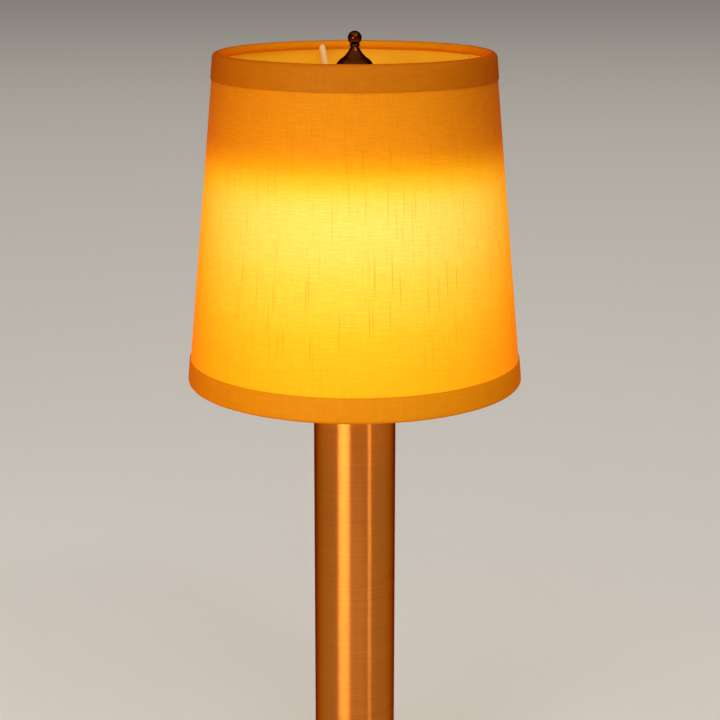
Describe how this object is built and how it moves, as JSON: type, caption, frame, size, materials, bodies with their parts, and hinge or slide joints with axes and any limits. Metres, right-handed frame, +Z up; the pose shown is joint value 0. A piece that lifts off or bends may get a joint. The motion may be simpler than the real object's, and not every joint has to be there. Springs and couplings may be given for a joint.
{
  "type": "table lamp",
  "caption": "Cordless candle-style table lamp: round foot, brushed copper column, light head under a glare cap, tapered fabric shade on a wire carrier, turned finial.",
  "frame": {"origin": "centre of the foot's underside, on the table", "axes": "+Z up along the column, +Y to the rear, where the charging socket is"},
  "size_m": [0.1532, 0.1532, 0.38],
  "materials": {
    "brushed_copper": "copper, brushed round its axis",
    "polished_copper": "polished copper",
    "dark_copper": "darkened copper, polished",
    "carrier_wire": "cream-enamelled steel wire",
    "zinc_steel": "zinc-plated",
    "socket_steel": "drawn",
    "nickel": "bare nickel",
    "cast_iron": "as cast",
    "aluminium": "turned",
    "foot_rubber": "matt",
    "board_green": "solder mask",
    "strip_white": "white solder mask",
    "chip_black": "moulded",
    "button_black": "moulded",
    "plunger_white": "moulded",
    "cradle_black": "moulded",
    "cell_wrap": "shrink wrap",
    "foam": "foam",
    "lead_red": "silicone jacket",
    "lead_black": "silicone jacket",
    "frosted_cover": "frosted acrylic",
    "led_glow": "warm white phosphor",
    "nylon_white": "moulded nylon",
    "shade_silk": "slubbed silk-look weave, amber",
    "tape_silk": "satin bias tape, dark amber",
    "liner_film": "stiff film, amber"
  },
  "bodies": {
    "root": {"foot_pad": "foot_rubber", "base_plate": "zinc_steel", "base_plate_screws": "zinc_steel", "base_weight": "cast_iron", "base_cover": "brushed_copper", "charge_board": "board_green", "charge_board_screws": "zinc_steel", "charge_socket": "socket_steel", "column_flange": "aluminium", "column_screws": "zinc_steel", "control_board": "board_green", "control_chips": "chip_black", "control_board_screws": "zinc_steel", "button_switch": "chip_black", "body_tube": "brushed_copper", "battery_cradle": "cradle_black", "cradle_screws": "zinc_steel", "battery_lower": "cell_wrap", "battery_upper": "cell_wrap", "battery_tabs": "nickel", "battery_pad": "foam", "red_leads": "lead_red", "black_leads": "lead_black", "led_cover": "frosted_cover", "head_plug": "brushed_copper", "head_cap": "brushed_copper", "led_post": "aluminium", "led_flex": "strip_white", "led_chips": "led_glow", "centre_rod": "zinc_steel", "head_nut": "zinc_steel", "cap_nut": "polished_copper", "riser_tube": "polished_copper", "shade_seat": "polished_copper"},
    "shade_washer": {"shade_washer": "nylon_white"},
    "shade": {"spider_hub": "carrier_wire", "spider_arms": "carrier_wire", "top_wire": "carrier_wire", "bottom_wire": "carrier_wire", "shade_liner": "liner_film", "shade_fabric": "shade_silk", "seam_strip": "liner_film", "top_tape": "tape_silk", "bottom_tape": "tape_silk"},
    "finial_washer": {"finial_washer": "dark_copper"},
    "finial": {"finial": "dark_copper"},
    "power_button": {"power_button": "button_black", "switch_plunger": "plunger_white"}
  },
  "joints": [
    {"name": "shade_lift", "type": "slide", "parent": "root", "child": "shade_washer", "axis": [0, 0, 1], "range_m": [0, 0.165]},
    {"name": "shade_turn", "type": "hinge", "parent": "shade_washer", "child": "shade", "pos_m": [0, 0, 0.359], "axis": [0, 0, 1], "continuous": true},
    {"name": "finial_lift", "type": "slide", "parent": "shade", "child": "finial_washer", "axis": [0, 0, 1], "range_m": [0, 0.006]},
    {"name": "finial_turn", "type": "hinge", "parent": "finial_washer", "child": "finial", "pos_m": [0, 0, 0.361], "axis": [0, 0, 1], "range_deg": [0, 2160]},
    {"name": "button_press", "type": "slide", "parent": "root", "child": "power_button", "axis": [0, 0, 1], "range_m": [0, 0.0012], "stiffness_N_per_m": 1000, "springref_m": -0.001}
  ],
  "couplings": [
    {"joint": "finial_turn", "follows": "finial_lift", "rad_per_m": 6283.2}
  ]
}
